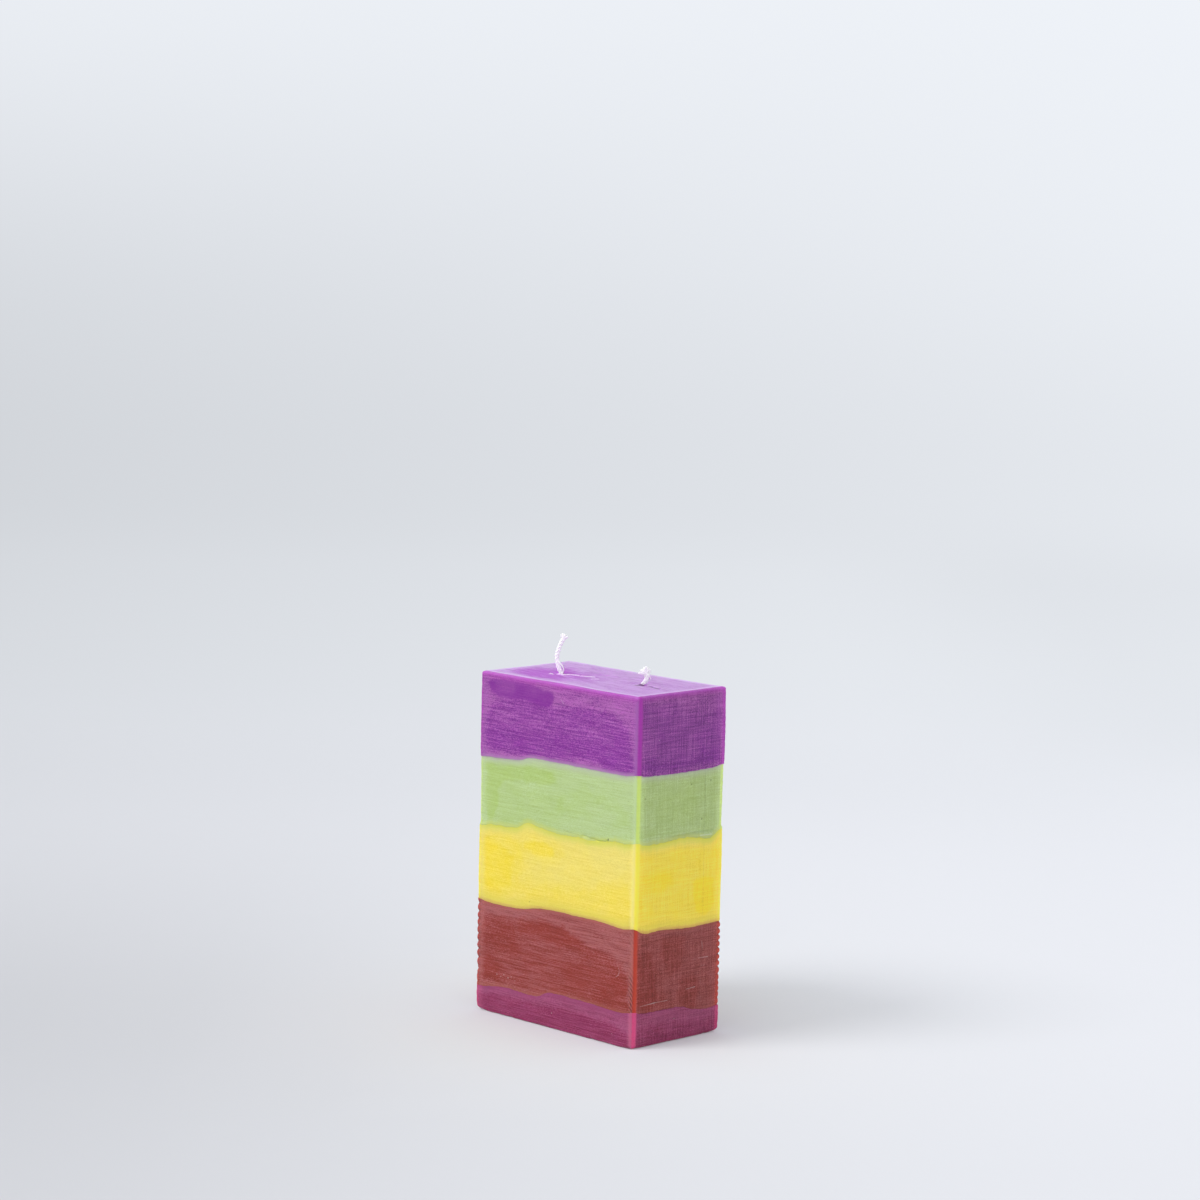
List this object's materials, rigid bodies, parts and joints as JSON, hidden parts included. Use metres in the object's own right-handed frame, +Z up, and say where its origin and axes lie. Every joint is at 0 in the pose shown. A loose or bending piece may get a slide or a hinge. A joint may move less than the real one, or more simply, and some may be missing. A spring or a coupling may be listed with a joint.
{
  "type": "layered block candle",
  "caption": "Tall rectangular block candle poured in wavy coloured layers, with braided cotton wicks that run down to metal tabs in its base.",
  "frame": {"origin": "centre of the candle's footprint, on the surface it stands on", "axes": "+Z up along the candle's height, +X along its wide faces, +Y through its depth; a wide face looks along -Y"},
  "size_m": [0.09, 0.049, 0.1561],
  "materials": {
    "plum_wax": "waxy satin with a pale bloom",
    "red_wax": "waxy satin with a pale bloom",
    "yellow_wax": "waxy satin with a pale bloom",
    "green_wax": "waxy satin with a pale bloom",
    "purple_wax": "waxy satin with a pale bloom",
    "cotton_wick": "braided cotton, off-white and unburnt",
    "tab_metal": "bright tinplate"
  },
  "bodies": {
    "root": {"plum_layer": "plum_wax", "red_layer": "red_wax", "yellow_layer": "yellow_wax", "green_layer": "green_wax", "purple_layer": "purple_wax", "left_wick": "cotton_wick", "right_wick": "cotton_wick", "left_wick_tab": "tab_metal", "right_wick_tab": "tab_metal"}
  },
  "joints": []
}
